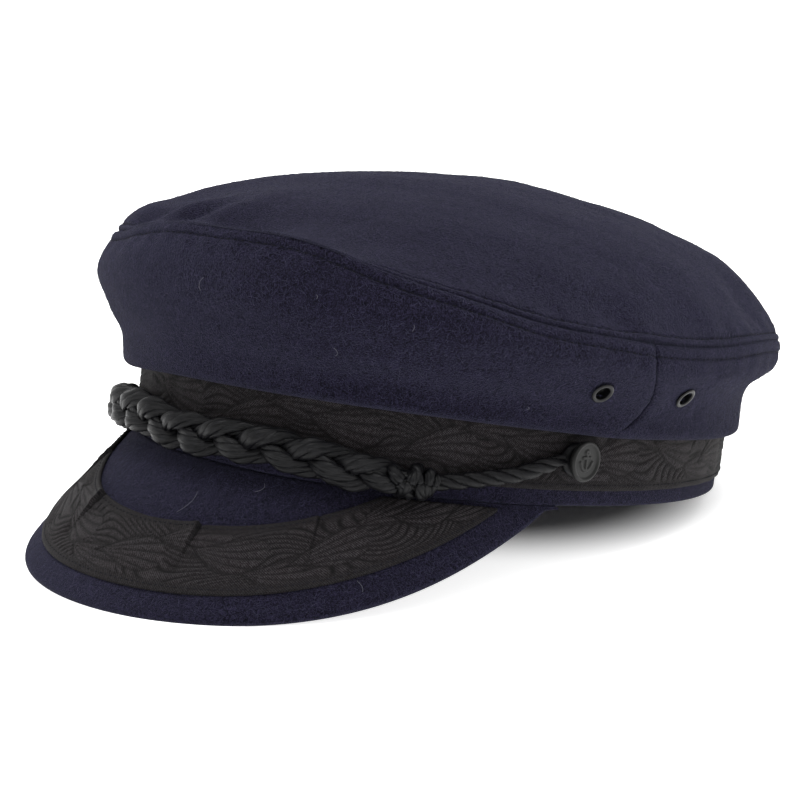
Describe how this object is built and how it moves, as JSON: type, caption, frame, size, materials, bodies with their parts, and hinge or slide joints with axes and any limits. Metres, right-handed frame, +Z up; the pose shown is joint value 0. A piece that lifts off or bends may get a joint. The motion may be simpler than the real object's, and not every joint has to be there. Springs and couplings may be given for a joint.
{
  "type": "breton fisherman cap",
  "caption": "Soft wool fisherman cap with a domed crown, ribboned band, curved peak, plaited cord across the front, side buttons and vent eyelets.",
  "frame": {"origin": "centre of the bounding box on the table, under the middle of the resting cap", "axes": "+Z up, -Y towards the front where the peak points, +X towards the wearer's left"},
  "size_m": [0.2064, 0.2736, 0.113],
  "materials": {
    "wool": "napped navy melton wool, matt with a soft fuzz",
    "ribbon": "brownish-black jacquard ribbon with a woven leaf relief",
    "cord": "silky black cord, satin",
    "button": "dark grey, dull satin",
    "enamel": "black enamelled metal"
  },
  "bodies": {
    "root": {"crown_top": "wool", "crown_front": "wool", "crown_rear": "wool", "headband": "wool", "band_ribbon": "ribbon", "peak": "wool", "peak_ribbon": "ribbon", "braid": "cord", "knot_left": "cord", "knot_right": "cord", "rope_left": "cord", "rope_right": "cord", "button_left": "button", "button_right": "button", "eyelet_left_front": "enamel", "eyelet_left_rear": "enamel", "eyelet_right_front": "enamel", "eyelet_right_rear": "enamel"}
  },
  "joints": []
}
